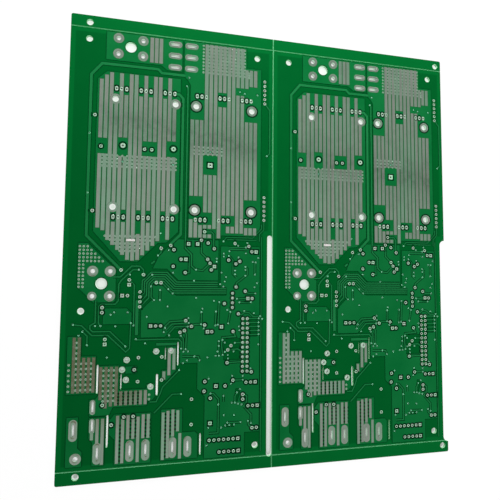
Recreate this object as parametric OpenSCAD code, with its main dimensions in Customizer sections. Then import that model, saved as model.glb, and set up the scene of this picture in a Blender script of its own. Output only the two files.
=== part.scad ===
// Bare circuit board: a production panel of two equal power boards, side by side between two
// break-off rails, before any component is fitted. It lies flat, front up, on z = 0.

/* [Panel] */
// Width of one board
board_w = 108.5; // [107.5:0.5:130]
// Height of one board
board_h = 225; // [224:1:260]
// Width of the break-off rails at the top and the bottom
rail_w = 6.5; // [5.5:0.5:12]
// Radius of the panel's outer corners
corner_r = 1; // [0.5:0.5:5]
// Width of the routed slot at each board's right edge
slot_w = 3; // [1:0.1:3.6]
// Height of the slot above the board's lower edge
slot_h = 118.5; // [60:0.5:119]
// How far the slot runs into the bottom rail
slot_run_in = 0.6; // [0.2:0.1:2]
// Width of the V-scored break lines
score_w = 0.5; // [0.3:0.1:1]
// Depth of the V-scored break lines, on each face
score_depth = 0.35; // [0.1:0.05:0.5]

/* [Layers] */
// Thickness of the glass-fibre core
core_t = 1.38; // [1.2:0.02:3.2]
// Thickness of the back copper plane with its solder mask
back_t = 0.06; // [0.04:0.01:0.2]
// Thickness of the front copper with its solder mask
copper_t = 0.1; // [0.05:0.01:0.3]
// Height of the tin above the front copper
tin_t = 0.06; // [0.03:0.01:0.3]
// Distance from the board's edge to the back plane
back_inset = 2.5; // [1:0.5:3]
// Clearance between a track and the copper beside it
copper_gap = 0.35; // [0.2:0.05:0.4]
// Clearance round a land
land_gap = 0.49; // [0.29:0.05:0.54]

/* [Holes and pads] */
// Pitch of the connector pins
pin_pitch = 2.54; // [2:0.01:2.6]
// Diameter of the unplated tooling and fixing holes
tooling_d = 3.3; // [2:0.1:5]
// Diameter of the unplated locating holes between the screw terminals
locating_d = 5.7; // [3:0.1:6]
// Thickness of the plating in the holes
plating = 0.15; // [0.05:0.05:0.2]
// Diameter of a via's land
via_land = 0.88; // [0.78:0.05:1.08]
// Diameter of a via's hole
via_hole = 0.5; // [0.3:0.1:0.6]
// Diameter of a connector pin's land
pin_land = 1.62; // [1.42:0.05:1.82]
// Diameter of a connector pin's hole
pin_hole = 0.9; // [0.6:0.1:1]
// Diameter of a component lead's land
lead_land = 1.74; // [1.54:0.05:2.04]
// Diameter of a component lead's hole
lead_hole = 1; // [0.7:0.1:1.2]
// Diameter of a thick lead's land, and side of the square one
thick_land = 2.5; // [2.2:0.1:3]
// Diameter of a power lead's land
power_land = 3.1; // [2.4:0.1:3.3]
// Diameter of a power lead's hole
power_hole = 1.7; // [1:0.1:1.8]
// Diameter of a screw terminal's land
terminal_land = 5.4; // [4:0.1:5.6]
// Diameter of the one narrow land of the output terminal
narrow_terminal_land = 4.4; // [4:0.1:5]
// Diameter of a screw terminal's hole
terminal_hole = 2.3; // [1.5:0.1:3]
// Diameter of a heatsink bolt's land
heatsink_land = 5.6; // [4.6:0.1:5.8]
// Diameter of a heatsink bolt's hole
heatsink_hole = 3.2; // [2.5:0.1:3.6]
// Diameter of a stitching via's tin ring
stitch_land = 1.12; // [0.92:0.1:1.32]
// Diameter of the mouth of a stitching via
stitch_hole = 0.4; // [0.3:0.05:0.5]
// Diameter of an open via mouth between two stripes of the lower bus
mouth_d = 1.12; // [0.82:0.1:1.12]

/* [Tracks and bus bars] */
// Width of a signal track
track_w = 0.7; // [0.3:0.05:0.8]
// Width of a tinned stripe in the two heatsink areas
stripe_w = 1.9; // [1.2:0.1:1.9]
// Width of a tinned stripe in the lower bus areas
lower_stripe_w = 1.5; // [1.2:0.05:1.7]
// Pitch of the tinned stripes in the two heatsink areas
stripe_pitch = 2.5; // [2.5:0.01:2.52]
// Length of a blade terminal's land
blade_land_l = 10.4; // [8:0.1:11]
// Width of a blade terminal's land
blade_land_w = 4; // [3:0.1:4.2]
// Length of a blade terminal's plated slot
blade_slot_l = 5.8; // [4:0.1:7]
// Width of a blade terminal's plated slot
blade_slot_w = 0.9; // [0.6:0.1:1.5]
// Length of a narrow blade terminal's land
narrow_land_l = 7.2; // [6.8:0.1:7.5]
// Width of a narrow blade terminal's land
narrow_land_w = 2.6; // [2:0.1:2.8]
// Length of a fuse clip's land
fuse_land_l = 7.2; // [6:0.1:7.5]
// Width of a fuse clip's land
fuse_land_w = 3.4; // [2.5:0.1:4]
// Length of a fuse clip's plated slot
fuse_slot_l = 5.2; // [3:0.1:6]
// Width of a fuse clip's plated slot
fuse_slot_w = 1.2; // [0.8:0.1:1.8]
// Length of a transistor lead's oval land
lead_oval_l = 2.4; // [1.8:0.1:2.6]
// Width of a transistor lead's oval land
lead_oval_w = 1.6; // [1.4:0.1:1.7]

/* [Hidden] */
$fn = 32;

panel_w = 2 * board_w;
panel_h = board_h + 2 * rail_w;
// The layout grid of a board starts at its left edge, this far below its lower edge
grid_drop = 6.5;
step_x = board_w - slot_w;
slot_top = slot_h + grid_drop;

core_z = back_t;
front_z = core_z + core_t;
mask_z = front_z + copper_t;
land_t = copper_t + tin_t;

mask_green = "seagreen";
laminate_green = "darkgreen";
tin_grey = "lightgray";

// ---- Small functions -------------------------------------------------------------------

// A row of points, n of them, one step apart
function row(start, n, step) = [for (i = [0:n - 1]) start + i * step];

// A grid of points, nx by ny
function grid(start, nx, ny, dx, dy) =
    [for (j = [0:ny - 1], i = [0:nx - 1]) start + [i * dx, j * dy]];

// The four corners of a rectangle about a centre
function corners(c, w, h) = [for (x = [-w / 2, w / 2], y = [-h / 2, h / 2]) c + [x, y]];

// Three leads of a transistor as [x, y, clearance], the middle one at c; the copper joins
// one of them, counted -1, 0 or 1 from the middle
function triplet(c, joined) =
    [for (k = [-1:1]) [c.x + k * pin_pitch, c.y, k == joined ? 0 : land_gap]];

// Upright slot with round ends, of length l and width w
module slot_2d(l, w) {
    square([w, l - w], center = true);
    for (s = [-1, 1]) translate([0, s * (l - w) / 2]) circle(d = w);
}

// Points of a rectangle with round corners, from its lower left corner
function rounded_points(w, h, r, n = 6) = [
    for (k = [0:3], i = [0:n]) let (a = 90 * k + 90 * i / n + 180)
        [k == 0 || k == 3 ? r : w - r, k < 2 ? r : h - r] + r * [cos(a), sin(a)]];

// Outline of a track along points p, mitred at its bends
function unit(v) = v / norm(v);
function left_of(v) = [-v.y, v.x];
function mitre(a, b) = (a + b) / (1 + a * b);
function track_side(p, h) = [
    for (i = [0:len(p) - 1]) let (
        before = unit(p[max(i, 1)] - p[max(i, 1) - 1]),
        after = i == len(p) - 1 ? before : unit(p[i + 1] - p[i]),
        first = i == 0 ? after : before)
        p[i] + h * mitre(left_of(first), left_of(after))];
function backwards(p) = [for (i = [len(p) - 1:-1:0]) p[i]];
function track_points(p, w) = concat(track_side(p, w / 2), backwards(track_side(p, -w / 2)));

// Lands as [x, y, radius, clearance], and whether one comes near an outline's box
function lands(at, d, gap) = [for (p = at) [p.x, p.y, d / 2, gap]];
function low(p) = [min([for (q = p) q.x]), min([for (q = p) q.y])];
function high(p) = [max([for (q = p) q.x]), max([for (q = p) q.y])];
function near(land, lo, hi, m = 4) =
    land.x > lo.x - m && land.x < hi.x + m && land.y > lo.y - m && land.y < hi.y + m;
function boxes_meet(lo_a, hi_a, lo_b, hi_b) =
    lo_a.x < hi_b.x && lo_b.x < hi_a.x && lo_a.y < hi_b.y && lo_b.y < hi_a.y;

// ---- Layout of one board, in its grid ---------------------------------------------------

// Unplated holes: four through the rails, four through each board, and the locating holes
rail_hole_at = [for (x = [9.3, panel_w - 3.7], y = [3.7, panel_h - 3.7]) [x, y]];
board_hole_at = [[9.3, 225.4], [99.2, 225.4], [9.3, 84.2], [99.2, 12.5]];
input_terminal = [30.2, 223.3];
output_terminal = [18.7, 98];
locating_at = [input_terminal, output_terminal];

// Thin slots milled through the board to keep high voltage apart: x, lower end, upper end, width
isolation_slots = [
    [18.2, 43.3, 57.5, 0.9], [29.6, 45, 52.5, 0.6], [47.4, 41, 51.8, 1], [57.8, 55.7, 67.8, 0.7],
    [51.4, 59, 65, 0.5], [23.6, 16.7, 32.7, 0.9], [70, 9.8, 20.6, 0.8]];

// Stripes of the two heatsink rows: the middle lead of each transistor sits on a stripe
input_x = 16;
output_x = 63.2;
leads_low = 132.3;
leads_high = 200.2;
transistor_leads = [for (
    t = concat(
        [for (i = [4, 9, 14], y = [leads_low, leads_high]) triplet([input_x + i * stripe_pitch, y], 0)],
        [for (i = [2, 7, 12]) triplet([output_x + i * stripe_pitch, leads_low], -1)],
        [for (i = [2, 7, 12]) triplet([output_x + i * stripe_pitch, leads_high], 1)]),
    p = t) p];
input_sink = [38.6, 166];
output_sink = [80.7, 166];
sink_w = 31;
sink_h = 57;

// Screw terminals, fuse clips and blade terminals
terminal_w = 12.6;
terminal_h = 8.5;
output_terminal_at = corners(output_terminal, terminal_h, terminal_w);
terminal_at = concat(corners(input_terminal, terminal_w, terminal_h),
    [for (k = [1:3]) output_terminal_at[k]], [[9.1, 12.3]]);
narrow_terminal_at = output_terminal_at[0];
fuse_at = [for (x = [53.5, 62.3], y = [215, 221.4, 227.8]) [x, y]];
blade_at = [[7.6, 26], [19.1, 14.2], [34.7, 14.3], [42.4, 14.3], [55.8, 14.4], [63.5, 14.4]];
narrow_blade_at = [[16.4, 36.8], [16.4, 27.6]];

// Connectors, as rows of pins
pins_at = concat(
    row([92.1, 51.5], 12, [0, pin_pitch]), row([94.6, 51.5], 12, [0, pin_pitch]),
    row([103.6, 199.6], 6, [0, pin_pitch]), row([103.5, 133.4], 6, [0, pin_pitch]),
    row([37.9, 86.2], 4, [0, pin_pitch]), row([86.3, 85.5], 4, [0, pin_pitch]),
    row([74.7, 16.6], 6, [pin_pitch, 0]), row([80, 10.3], 4, [pin_pitch, 0]),
    row([94.1, 45.6], 2, [pin_pitch, 0]), row([95.3, 33.2], 2, [pin_pitch, 0]),
    row([46.1, 76.3], 2, [pin_pitch, 0]));
first_pins_at = [
    [74.7, 16.6] + 6 * [pin_pitch, 0], [80, 10.3] + 4 * [pin_pitch, 0],
    [94.1, 45.6] + 2 * [pin_pitch, 0], [95.3, 33.2] + 2 * [pin_pitch, 0], [43.6, 76.3]];

// Power leads
power_at = [[32.2, 59.4], [30, 54.6], [32, 49.5], [46.7, 63.3], [44.2, 45.6], [54.2, 63.4]];

// Component leads, round and square
leads_at = [
    // under the screw terminal and the small transformer
    [28.2, 105], [32.4, 100], [31.7, 91.9], [19.5, 85.9], [19.5, 83.4], [21.3, 70], [39.4, 102.7],
    [46, 98.6], [48.4, 98.6], [48.1, 116.6], [37.9, 60.4], [36, 54.4], [37.8, 48.4], [49.6, 60.4],
    [49.7, 48.7], [21, 37.5], [25.5, 27.6], [31.5, 31.2], [36, 31.2],
    // between the two heatsinks and the bus
    [53, 118.2], [54.7, 116], [69.1, 121.4], [72.7, 120], [76.1, 117], [58.5, 111], [54.5, 107.2],
    [72.6, 111.2], [73.9, 109.1], [88, 109], [90.1, 110.4], [84, 111], [87.4, 120.1], [95.1, 118.7],
    [96.8, 115.8], [60.8, 104], [74.6, 105.6], [70.7, 126],
    // control side
    [88.2, 96.5], [93.3, 94.2], [97.2, 90.3], [89.6, 82.1], [81.9, 87.6], [61.5, 78.8],
    [64.5, 75.8], [58.6, 72.8], [60.9, 73.7], [71.5, 76.4], [75.3, 72.8], [86.8, 72.7], [85.7, 65.2],
    [84, 63], [83.7, 56.3], [97, 51], [72, 46.9], [71.7, 41.9], [82.8, 44.2], [87, 47],
    [92.4, 39.3], [92.4, 36.8], [97.6, 21.6], [100, 21.6], [75, 38.2], [65.2, 38.2], [65.2, 25.3],
    // under the heatsinks
    [16.5, 168.8], [38.4, 168.7], [42.1, 168.7], [13.1, 185.1], [13.3, 135.1]];
thick_leads_at = [[27.4, 169.9], [53.4, 169.9]];
thick_square_lead_at = [73.2, 162.3];
square_leads_at = [
    [32.4, 97.5], [29.1, 91.9], [21.3, 67.5], [62.3, 119.3], [67.1, 119.3], [61, 111],
    [76.3, 107.4], [99.2, 115.7], [94.8, 90.3], [73, 72.8], [80.5, 75.3], [77.9, 44.3],
    [75, 25.3]];

// Vias
vias_at = concat(
    row([100.9, 70.9], 5, [0, 2.15]),
    [
    // input and output zones
    [10.8, 175.3], [10.8, 144.3], [60, 205.2], [61.2, 210], [99.3, 204.2], [105, 169.6],
    [89.3, 205], [92, 204.2], [73.2, 169.7], [47.6, 124.5], [27.4, 161.4], [53.4, 161.4],
    // left side
    [16.4, 76.7], [19, 76.7], [26.2, 76.4], [35, 76.7], [6, 77.5], [8.8, 72.1], [10.5, 74],
    [36.4, 69.8], [41, 67.5], [31.3, 66.3], [33.7, 78], [32.7, 102.7], [37, 105.2], [12.8, 67.3],
    [22.5, 60.9], [25.4, 83.5], [23.8, 82.3], [32, 83.4], [41.5, 81.1], [43.4, 96.7], [48, 94.8],
    [48, 89.6], [45, 89.6], [52.2, 95.3], [54.5, 93], [46.5, 112.8], [43.8, 102.7],
    // middle
    [52, 115.7], [54.4, 103.9], [65.5, 99.8], [66.5, 105.6], [77.5, 111.7], [77.5, 110],
    [66.7, 90.7], [76.3, 89.1], [52, 86.3], [79.5, 98], [81.3, 96.7], [80.2, 104.2], [81, 121.1],
    // control side, upper part
    [81.3, 114.5], [81.3, 112.9], [84.4, 115.8], [84.1, 113.3], [89.4, 112.5], [87.6, 105.4],
    [87.6, 103.4], [93.3, 107.5], [93.3, 105.8], [93.3, 102.6], [93.5, 114.8], [94.3, 120.5],
    [93.4, 118], [89.2, 118.9], [100.5, 112.4], [97.4, 110.2], [99, 110], [98.6, 103.3],
    [82.6, 101.8], [82, 99.4], [99.8, 98.7], [98.5, 96.4], [99, 93], [88.8, 90.1], [90.2, 88.2],
    [96.5, 88.3], [83.5, 84.2], [85.2, 83.2], [92.8, 83.6], [98.2, 82.3], [101.8, 80.7], [102.9, 79.2],
    [79.1, 88.5], [77.5, 83.4], [70.2, 85], [69.7, 83.2],
    // control side, middle part
    [62.9, 80.1], [63.1, 77.6], [62.6, 75.7], [50.3, 73], [51, 75.2], [53.1, 71.3], [59.1, 71],
    [69.6, 76.8], [71, 74.6], [61.7, 64], [60.6, 62.7], [63, 62.8], [59.4, 64.4], [66.3, 60.1],
    [62.5, 58.2], [60.4, 56.9], [69.1, 58], [73.2, 59.4], [58.6, 53.4], [77.2, 76], [78.6, 76.4],
    [84.1, 77], [90, 75.3], [90.3, 73.2], [79.2, 67.7], [79.2, 65.3], [78.5, 62.3], [77.6, 60.1],
    [79.3, 60.1], [81.1, 68.3], [82.4, 66.9], [82.5, 62], [81.3, 60.5], [84, 60.4], [84.2, 58.5],
    [87.8, 66.7], [87.2, 62.1], [96.6, 52.8], [74, 48.3], [92.4, 47], [92.3, 49], [86.6, 49.3],
    [86, 45.2], [100.8, 65.5],
    // control side, lower part
    [75, 40.6], [82, 39.1], [89.3, 40.5], [90.9, 42.1], [59.8, 41.2], [79.3, 34.7], [82.3, 29.1],
    [87.8, 28.8], [84.2, 25.1], [83.1, 23.7], [85.3, 23.8], [87.8, 23.8], [91.4, 24.9],
    [95.4, 25.3], [97, 24.1], [81, 22.7], [74.2, 23.1], [73.4, 14.1], [86.5, 35.3], [88.2, 35.2],
    [89.8, 34.6], [91.8, 34.1]]);

// Copper pours that carry power: outlines in order round each area
pours = [
    // mains input and first fuse clip
    [[17.8, 230.5], [57.3, 230.5], [57.3, 212.9], [49.3, 212.9], [46, 215.3], [17.8, 215.3]],
    // under the input heatsink
    [[14, 204.5], [18.5, 208.9], [56.7, 208.9], [56.7, 125.5], [50.8, 119.7], [46.3, 119.3],
        [36.4, 109.4], [27.5, 109.4], [14, 124.5]],
    // second fuse clip and under the output heatsink
    [[58.4, 230.5], [93, 230.5], [93, 219], [101.5, 219], [101.5, 130], [99.6, 124.2],
        [79.6, 124.2], [79.6, 122.2], [62, 122.2], [62, 206], [60.6, 208.4], [58.4, 210.6]],
    // output terminal
    [[7.2, 118.5], [11.8, 118.5], [25.8, 105], [25.8, 89.8], [25, 88.5], [15, 88.5], [7.2, 96.5]],
    // small area beside the transformer
    [[20, 77.5], [34, 77.5], [34, 83], [31.5, 85.5], [20, 85.5]],
    // lower left, each side of the first isolation slot
    [[3.7, 71.7], [10.2, 71.7], [10.2, 61.9], [17.3, 61.9], [17.3, 43.4], [3.7, 43.4]],
    [[19, 56.9], [28.7, 56.9], [28.7, 44.7], [42.2, 44.7], [42.2, 47], [46.4, 47], [46.4, 40.2],
        [44.6, 38.4], [42.6, 38.4], [42.6, 36.3], [26, 36.3], [24.3, 32.5], [14.8, 32.5],
        [14.8, 40.6], [17.6, 40.6], [19, 42.6]],
    [[14.9, 31.7], [22.5, 31.7], [22.5, 8.3], [16.7, 8.3], [16.7, 19.6], [14.9, 21.8]],
    [[4.5, 32.4], [9.9, 32.4], [9.9, 17.5], [12, 15.5], [12, 8.6], [4.5, 8.6]],
    // along the lower edge
    [[24.5, 29.8], [26.8, 32.7], [45, 32.7], [45, 7.9], [27.2, 7.9], [27.2, 20.3], [24.5, 23]],
    [[49.8, 33.8], [60.6, 33.8], [60.6, 21.7], [67.2, 21.7], [68.5, 20.4], [68.5, 8.3], [49.8, 8.3]],
    // beside the fourth isolation slot
    [[49.6, 53.6], [52.1, 53.6], [52.1, 65.6], [57, 65.6], [57, 53.4], [52.2, 48.2], [49.6, 48.2]],
    [[31.6, 52.6], [37.2, 52.6], [37.2, 56.2], [31.6, 56.2]]];

// Ground copper: the area above the signal bus, and the control side
ground_areas = [
    [[44, 105.9], [46.8, 112], [52.8, 118.7], [55.6, 121.6], [78.4, 121.6], [78.4, 99.9],
        [57.4, 99.9], [51.4, 105.9]],
    [[38.7, 70.5], [38.7, 84.5], [43.9, 89.7], [43.9, 97.4], [50.7, 97.4], [56.2, 91.9],
        [83, 91.9], [83, 96.2], [79.7, 96.2], [79.7, 118.4], [101.3, 118.4], [101.3, 19.6],
        [93.3, 19.6], [93.3, 7.6], [72, 7.6], [72, 39.3], [68, 43.3], [68, 56.8], [58.9, 56.8],
        [58.9, 70.5]]];

// Bare windows in the ground copper, the first between the two rows of the long connector
ground_windows = [
    [[92.1, 51.5], [94.6, 51.5], [94.6, 79.4], [92.1, 79.4]],
    [[50.8, 70.4], [54.5, 74.6], [58.6, 74.6], [60, 72.5], [60, 70.4]],
    [[96, 69.8], [99.9, 69.8], [99.9, 80.2], [96, 80.2]],
    [[81.7, 57.6], [90.6, 57.6], [90.6, 69], [81.7, 69]],
    [[87.4, 35.8], [89.6, 35.8], [91.2, 42.6], [88.4, 42.6]],
    [[82.4, 24.4], [88, 24.4], [88, 22.8], [82.4, 22.8]]];

// Tracks as [width, points]
bus_n = 6;
bus_pitch = 1.15;
bus_x = 38.9;
bus_top = 104;
bus_low = 99;
power_track_w = 1.4;
tracks = concat(
    // signal bus: up from the pins, over and down beside the output zone
    [for (i = [0:bus_n - 1]) let (d = i * bus_pitch, k = 0.41 * d) [track_w, concat(
        i < 4 ? [[37.9, 86.2 + (3 - i) * pin_pitch],
                [bus_x + d, 86.2 + (3 - i) * pin_pitch + bus_x + d - 37.9],
                [bus_x + d, 99.6 - k], [43.3 + k, bus_top - d]]
            : i == 4 ? [[45, 89.6], [bus_x + d, 91.1], [bus_x + d, 99.6 - k], [43.3 + k, bus_top - d]]
            : [[46, bus_top - d]],
        [[51.5 - k, bus_top - d], [56.5 - k, bus_low - d], [i < 3 ? 78.2 : 82.8, bus_low - d]])]],
    [
    // mains track round the input zone
    [power_track_w, [[59, 211], [46.5, 211], [44.7, 212.9], [16, 212.9], [10.8, 206.5],
        [10.8, 122.4], [28.2, 105]]],
    // drives of the two heatsink rows
    [power_track_w, [[53.6, 200.2], [56, 200.2], [58.1, 198.1], [58.1, 124.2], [52.8, 118.9]]],
    [0.8, [[60, 205.2], [60.6, 204.3], [60.6, 117], [64, 113.6], [64, 107.6], [66.2, 105.6]]],
    // lines from the output terminal to the small parts
    [track_w, [[24.5, 101.4], [28, 101.5], [33.5, 107.1], [37.6, 107.1], [39.4, 105.2],
        [39.4, 102.7]]],
    [track_w, [[37, 105.2], [34.2, 105.2], [28.4, 99.6], [27.3, 97.6], [27.3, 89.4], [25.8, 87.6],
        [19, 87.6], [18, 86.6], [18, 78], [19, 76.7]]],
    [track_w, [[16.4, 89.4], [16.4, 78.4], [14, 77], [14, 75.2], [15.4, 73.9], [23.6, 73.9],
        [31.3, 66.3]]],
    [track_w, [[6, 77.5], [10, 77], [15, 72], [22.6, 72], [31.6, 63.4], [33.4, 65.2], [33.7, 78]]],
    [track_w, [[32.4, 100], [35, 97.4], [35, 76.7]]],
    [track_w, [[10.5, 74], [12.8, 71.8], [12.8, 67.3]]],
    [1.6, [[36.6, 71.8], [36.6, 89.6]]],
    [track_w, [[36.4, 69.4], [58, 69.4], [59.4, 68], [59.4, 64.4]]],
    [track_w, [[46.5, 112.8], [48.1, 114.4], [48.1, 116.6]]],
    [1, [[43.2, 108.4], [45, 109.9]]],
    [track_w, [[48, 94.8], [48, 89.6]]],
    [track_w, [[52.2, 95.3], [54.5, 93]]],
    [power_track_w, [[46.6, 66.9], [57, 66.9]]],
    [track_w, [[59.8, 41.2], [55.2, 41.2], [46.2, 32.2]]],
    [track_w, [[58.6, 53.4], [50.2, 45], [49.2, 42], [47.2, 37.9], [43.9, 37.9]]],
    // middle
    [track_w, [[69.1, 121.4], [69.1, 114.6], [72.6, 111.2]]],
    [track_w, [[70.7, 126], [74.6, 126], [75.7, 124.8], [75.7, 118], [76.1, 117]]],
    [track_w, [[66.5, 105.6], [70, 105.2], [73.9, 109.1]]],
    [track_w, [[74.6, 105.6], [76.3, 107.4]]],
    [track_w, [[60.8, 104], [62.8, 104], [62.8, 112]]],
    // right edge and the rows of six pins
    [track_w, [[105, 169.6], [106.6, 171.2], [106.6, 196], [103.6, 199.6]]],
    [0.5, [[103.5, 133.4], [103.5, 128], [101, 125.4], [101, 121.4]]],
    [0.5, [[102.2, 131], [102.2, 128.6], [97.2, 123.3], [82.6, 123.3], [81, 121.1]]],
    [0.5, [[99.4, 122.1], [83, 122.1]]],
    [0.5, [[102.2, 124], [102.2, 9]]],
    // control side
    [track_w, [[84.4, 116.8], [94.4, 116.8]]],
    [track_w, [[84.2, 117.7], [93.4, 118]]],
    [track_w, [[84.1, 113.3], [86.4, 110.8], [86.4, 103.6], [88.4, 101.6]]],
    [track_w, [[93.3, 107.5], [94.3, 106.4], [94.3, 103.2], [88.4, 98.6], [88.2, 96.5]]],
    [track_w, [[98.6, 110], [98.6, 103.3]]],
    [track_w, [[93.3, 94.2], [95, 93], [99, 93]]],
    [track_w, [[88.8, 90.1], [94.8, 90.3]]],
    [track_w, [[90.2, 88.2], [96.5, 88.3]]],
    [track_w, [[79.1, 88.5], [78.6, 76.4]]],
    [track_w, [[77.5, 83.4], [77.1, 76]]],
    [track_w, [[85.2, 83.2], [84.1, 77]]],
    [track_w, [[69.7, 83.2], [69.6, 76.8]]],
    [track_w, [[89.6, 82.1], [91.4, 81.6], [93, 83], [95.6, 82.6], [97.8, 80.5], [101.8, 80.7]]],
    [track_w, [[61.5, 78.8], [53.4, 78.4], [50.4, 75.6], [50.3, 73]]],
    [track_w, [[63.1, 77.6], [54.4, 77.1], [51.4, 74]]],
    [track_w, [[62.6, 75.7], [56, 75.7], [52.2, 71.6]]],
    [track_w, [[64.5, 75.8], [66.4, 76.8], [69.6, 76.8]]],
    [track_w, [[60.9, 73.7], [62, 71.6], [61.7, 64]]],
    [track_w, [[59.1, 71], [60.4, 69.6], [60.6, 62.7]]],
    [track_w, [[60, 60.4], [66.3, 60.1], [68.4, 60], [69.1, 58]]],
    [track_w, [[86.8, 72.7], [88.2, 70], [81.1, 69.6], [80.6, 66], [81.3, 60.5]]],
    [track_w, [[79.2, 67.7], [79.2, 60.1]]],
    [track_w, [[87.8, 66.7], [92.1, 66.7]]],
    [track_w, [[84, 63], [89.4, 63.4], [92.1, 61.7]]],
    [track_w, [[83.7, 56.3], [92.1, 56.6]]],
    [track_w, [[87, 47], [92.4, 47]]],
    [track_w, [[97, 51], [94.6, 51.5]]],
    [track_w, [[75, 40.6], [76.6, 40.6], [79.4, 37.4], [79.3, 20.2], [74.4, 20.2]]],
    [track_w, [[92.4, 39.3], [94.6, 38.4], [94.4, 35], [92.8, 33.2]]],
    [track_w, [[93, 33], [97, 28.6], [97, 24.1]]],
    [track_w, [[95.4, 25.3], [95.6, 23.4], [97.6, 21.6]]],
    [track_w, [[89.3, 40.5], [88.2, 38.6], [88.2, 35.2]]],
    [track_w, [[82, 39.1], [82, 36]]],
    [track_w, [[84.2, 25.1], [91.4, 24.9]]]
    ],
    [for (i = [0:4]) [track_w, [[94.6, 70.9 + 2.15 * i], [100.9, 70.9 + 2.15 * i]]]]);

// Tinned stripes as [x, lower end, upper end]
function upright(x, spans) = [for (s = spans) [x, s[0], s[1]]];
input_cols = 16;
sink_band = [136.2, 197];
function input_low(x) =
    x < 18 ? 126.5 : x < 20 ? 125.2 : max(109.9, min(121.2, 107.8 + abs(x - 33.5)));
function input_top(x) = x < 18 ? 204.5 : x < 20 ? 207 : 208.5;
input_spans = [for (i = [0:input_cols - 1]) let (x = input_x + i * stripe_pitch, k = i % 5)
    k == 4 || i == 0 || i == 1 || i == 2 || i == 6 || i == 7 || i == 11 || i == 12
        ? [[input_low(x), input_top(x)]]
        : i == 8 ? [[input_low(x), 123.7], sink_band]
        : i > 12 ? [sink_band]
        : [[input_low(x), 129.7], sink_band]];
input_windows = [
    [15, 165, 19.6, 173.3], [24.8, 164.2, 29.6, 174.2], [37.4, 165, 45, 173], [49.9, 165.4, 55.6, 174]];
// A solder bar across two of the stripes
bar = [32.4, 120.5];
bar_l = 4.2;
bar_w = 1;
mains_stripes = [for (i = [0:2]) [41.1 + 2.4 * i, 216.2, 230]];

output_low = [145.2, 187];
output_spans = [
    [output_low, [122.8, 132.5]], [output_low, [122.8, 130.9]], [output_low, [122.8, 129.5]],
    [[168, 230], [136.5, 157], [127.7, 129.7], [122.7, 124.6]],
    [[168, 230], [136.5, 157], [127.7, 129.7], [122.7, 124.6]],
    [[168, 230], [127.7, 157]], [[203.5, 230], [122.7, 195.3]], [[203.5, 230], [135.2, 195.3]],
    [[135.2, 230], [125.6, 129.2]], [[135.2, 230], [125.6, 129.2]],
    [[207.2, 230], [125.6, 202.8]], [[207.2, 230], [125.6, 202.8]],
    [[207.2, 218], [144.2, 188], [124.8, 128.7]], [[208.5, 218], [144.2, 188], [124.8, 128.7]],
    [[208.5, 218], [144.2, 188], [124.8, 128.7]]];

// Bus of the mains side, with narrower stripes
mains_bus_x = 6.9;
mains_pitch = 2.35;
lower_stripes = concat(
    [for (i = [0:4]) [mains_bus_x + mains_pitch * i, 44, i < 2 ? 71.2 : 61.2]],
    [[19.85, 40.2, 56.3], [22.35, 36, 56.3], [24.85, 36.8, 56.3], [27.35, 37, 56.3]],
    [for (i = [1:6]) [27.35 + 2.4 * i, 37, 44]],
    [[16.4, 20.9, 27], [18.9, 19.3, 31], [21.4, 8.8, 31]],
    [[28.55, 8.7, 32], [31.05, 8.7, 32], [33.6, 20.2, 32], [36.1, 20.2, 32], [38.5, 8.7, 31],
        [41, 20.2, 32], [43.5, 20.2, 32]],
    [[50.9, 8.7, 32.3], [53.3, 9.4, 33], [55.8, 19.95, 33.5], [58.3, 22.4, 33], [59.5, 8.7, 21.4]],
    [[53.35, 51, 64.7], [55.8, 53.8, 64.5], [50.8, 48.8, 53]]);

// Stitching vias: tinned ones as rings, and masked ones as open mouths in the copper
function below_v(p) = p.y > 110.4 + abs(p.x - 32) * 0.9;
stitch_grid = concat(
    grid([input_x + stripe_pitch / 2, 158.7], input_cols, 4, stripe_pitch, 1.88),
    [for (p = grid([input_x + stripe_pitch / 2, 114.8], 12, 5, stripe_pitch, 1.9)) if (below_v(p)) p],
    row([68.8, 214], 9, [0, 1.88]),
    grid([output_x + 3.5 * stripe_pitch, 214], 9, 9, stripe_pitch, 1.88),
    row([output_x + 12.5 * stripe_pitch, 213.6], 3, [0, 1.3]),
    grid([output_x + stripe_pitch / 2, 168.2], 7, 3, stripe_pitch, 1.9),
    [for (j = [0:11], i = [0:6]) if (j < 5 ? i < 3 + j : i < 2) [8 + 1.86 * i, 116.8 - 1.86 * j]],
    row([4.7, 44.9], 6, [0, 2.58]), row([mains_bus_x + 0.5 * mains_pitch, 45.4], 10, [0, 2.58]),
    grid([mains_bus_x + 1.5 * mains_pitch, 45.4], 3, 6, mains_pitch, 2.58),
    grid([21.1, 39.5], 3, 7, 2.5, 2.5), [[43.6, 41.6], [43.6, 39.4]]);
mouth_pitch = 1.9;
mouths_at = concat(
    grid([28.55, 38], 5, 4, 2.4, 1.6), row([29.8, 10], 10, [0, mouth_pitch]),
    row([34.85, 21.4], 5, [0, mouth_pitch]), row([37.3, 21.4], 5, [0, mouth_pitch]),
    row([42.25, 21.4], 5, [0, mouth_pitch]), row([44.7, 21.4], 5, [0, mouth_pitch]),
    row([52.1, 10.4], 12, [0, mouth_pitch]), row([54.55, 21.4], 6, [0, mouth_pitch]),
    row([57.05, 23.6], 5, [0, mouth_pitch]));

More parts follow.
